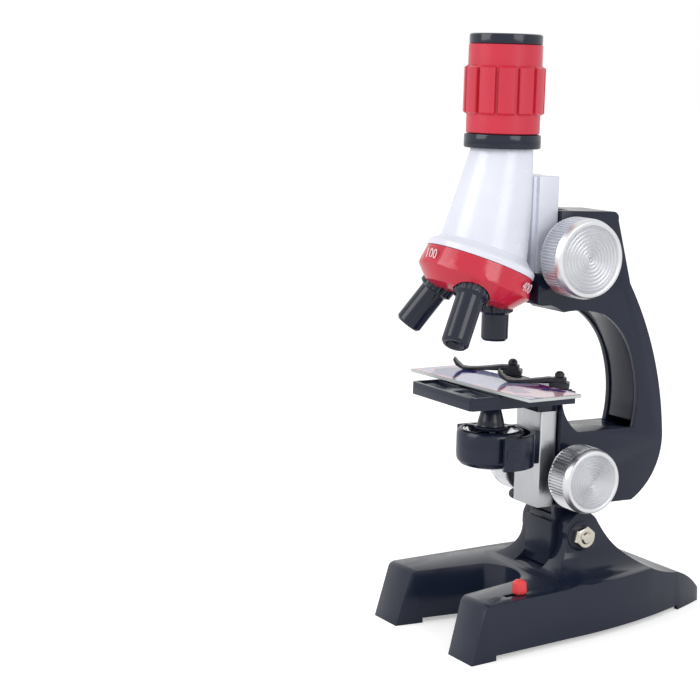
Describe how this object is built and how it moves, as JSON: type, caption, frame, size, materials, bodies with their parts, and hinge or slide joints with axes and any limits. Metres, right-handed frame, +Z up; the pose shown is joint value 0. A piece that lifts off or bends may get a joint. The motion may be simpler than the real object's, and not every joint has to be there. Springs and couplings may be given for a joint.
{
  "type": "toy microscope",
  "caption": "Upright children's teaching microscope: two-legged base, tilting bowed arm, racked tube with turret, racked stage with clips and slide, flip-over lamp.",
  "frame": {"origin": "on the floor under the middle of the whole outline", "axes": "+Z up, the front of the microscope (legs, turret and stage) faces -Y, +X is the viewer's right when facing along +Y, the side with the switch"},
  "size_m": [0.0778, 0.1276, 0.2335],
  "materials": {
    "black_gloss": "gloss",
    "black_matte": "satin",
    "zinc_steel": "plated",
    "battery_wrap": "printed sleeve",
    "nickel_spring": "plated",
    "nickel_bolt": "plated",
    "switch_red": "gloss",
    "white_acetal": "satin",
    "bright_plating": "vacuum plated",
    "white_gloss": "gloss",
    "lens_clear": "polished",
    "red_gloss": "gloss",
    "bar_plating": "satin plated",
    "slide_glass": "polished",
    "reflector": "vacuum plated",
    "bulb_glass": "clear",
    "mirror_glass": "silvered"
  },
  "bodies": {
    "base": {"base_shell": "black_gloss", "bottom_plate": "black_matte", "bottom_screws": "zinc_steel", "battery_door": "black_matte", "batteries": "battery_wrap", "battery_contacts": "nickel_spring", "switch_body": "black_matte", "pivot_bolt": "nickel_bolt", "pivot_nut": "nickel_bolt"},
    "switch": {"switch_knob": "switch_red"},
    "arm": {"arm_shell": "black_gloss", "arm_cover": "black_gloss"},
    "focus_knobs": {"focus_shaft": "white_acetal", "focus_knob_left": "bright_plating", "focus_knob_right": "bright_plating"},
    "stage_knobs": {"stage_shaft": "white_acetal", "stage_knob_left": "bright_plating", "stage_knob_right": "bright_plating"},
    "tube": {"optical_tube": "white_gloss", "tube_slider": "white_gloss", "tube_collar": "black_gloss", "field_lens": "lens_clear", "turret_screw": "zinc_steel"},
    "eyepiece": {"eyepiece_grip": "red_gloss", "eyepiece_cap": "black_gloss", "eyepiece_lens": "lens_clear"},
    "turret": {"turret": "red_gloss", "objective_short": "black_gloss", "objective_long": "black_gloss", "objective_middle": "black_gloss", "objective_lenses": "lens_clear"},
    "stage": {"stage_plate": "black_matte", "stage_carrier": "bar_plating", "stage_rack": "white_acetal", "stage_rail": "black_matte", "carrier_peg": "black_matte", "stage_screws": "zinc_steel", "clip_posts": "black_matte", "lamp_bracket": "black_gloss"},
    "clip_left": {"clip_left": "black_matte"},
    "clip_right": {"clip_right": "black_matte"},
    "slide": {"specimen_slide": "slide_glass"},
    "lamp": {"lamp_housing": "black_gloss", "lamp_reflector": "reflector", "lamp_bulb": "bulb_glass", "lamp_cone": "black_gloss", "lamp_mirror": "mirror_glass"}
  },
  "joints": [
    {"name": "arm_tilt", "type": "hinge", "parent": "base", "child": "arm", "pos_m": [0, 0.00124, 0.036], "axis": [-1, 0, 0], "range_deg": [-2.7, 38]},
    {"name": "focus_slide", "type": "slide", "parent": "arm", "child": "tube", "axis": [0, 0.0471, 0.9989], "range_m": [0, 0.012]},
    {"name": "focus_turn", "type": "hinge", "parent": "arm", "child": "focus_knobs", "pos_m": [0, -0.00349, 0.14795], "axis": [-1, 0, 0], "range_deg": [0, 172]},
    {"name": "stage_slide", "type": "slide", "parent": "arm", "child": "stage", "axis": [0, 0.0471, 0.9989], "range_m": [-0.005, 0.006]},
    {"name": "stage_turn", "type": "hinge", "parent": "arm", "child": "stage_knobs", "pos_m": [0, -0.0015, 0.06066], "axis": [-1, 0, 0], "range_deg": [-72, 86]},
    {"name": "turret_turn", "type": "hinge", "parent": "tube", "child": "turret", "pos_m": [0, -0.0361, 0.14638], "axis": [0, -0.4019, -0.9157], "continuous": true},
    {"name": "eyepiece_turn", "type": "hinge", "parent": "tube", "child": "eyepiece", "pos_m": [0, -0.0254, 0.20144], "axis": [0, 0.0471, 0.9989], "continuous": true},
    {"name": "clip_left_swing", "type": "hinge", "parent": "stage", "child": "clip_left", "pos_m": [-0.016, -0.00978, 0.09959], "axis": [0, 0.0471, 0.9989], "range_deg": [-30, 40]},
    {"name": "clip_right_swing", "type": "hinge", "parent": "stage", "child": "clip_right", "pos_m": [0.016, -0.00978, 0.09959], "axis": [0, 0.0471, 0.9989], "range_deg": [-30, 40]},
    {"name": "slide_push", "type": "slide", "parent": "stage", "child": "slide", "axis": [0.9976, 0.0697, -0.0033], "range_m": [-0.012, 0.012]},
    {"name": "lamp_flip", "type": "hinge", "parent": "stage", "child": "lamp", "pos_m": [0, -0.03144, 0.07328], "axis": [1, 0, 0], "range_deg": [0, 180]},
    {"name": "switch_slide", "type": "slide", "parent": "base", "child": "switch", "axis": [0, -1, 0], "range_m": [0, 0.005]}
  ],
  "couplings": [
    {"joint": "focus_turn", "follows": "focus_slide", "rad_per_m": 250},
    {"joint": "stage_turn", "follows": "stage_slide", "rad_per_m": 250}
  ]
}
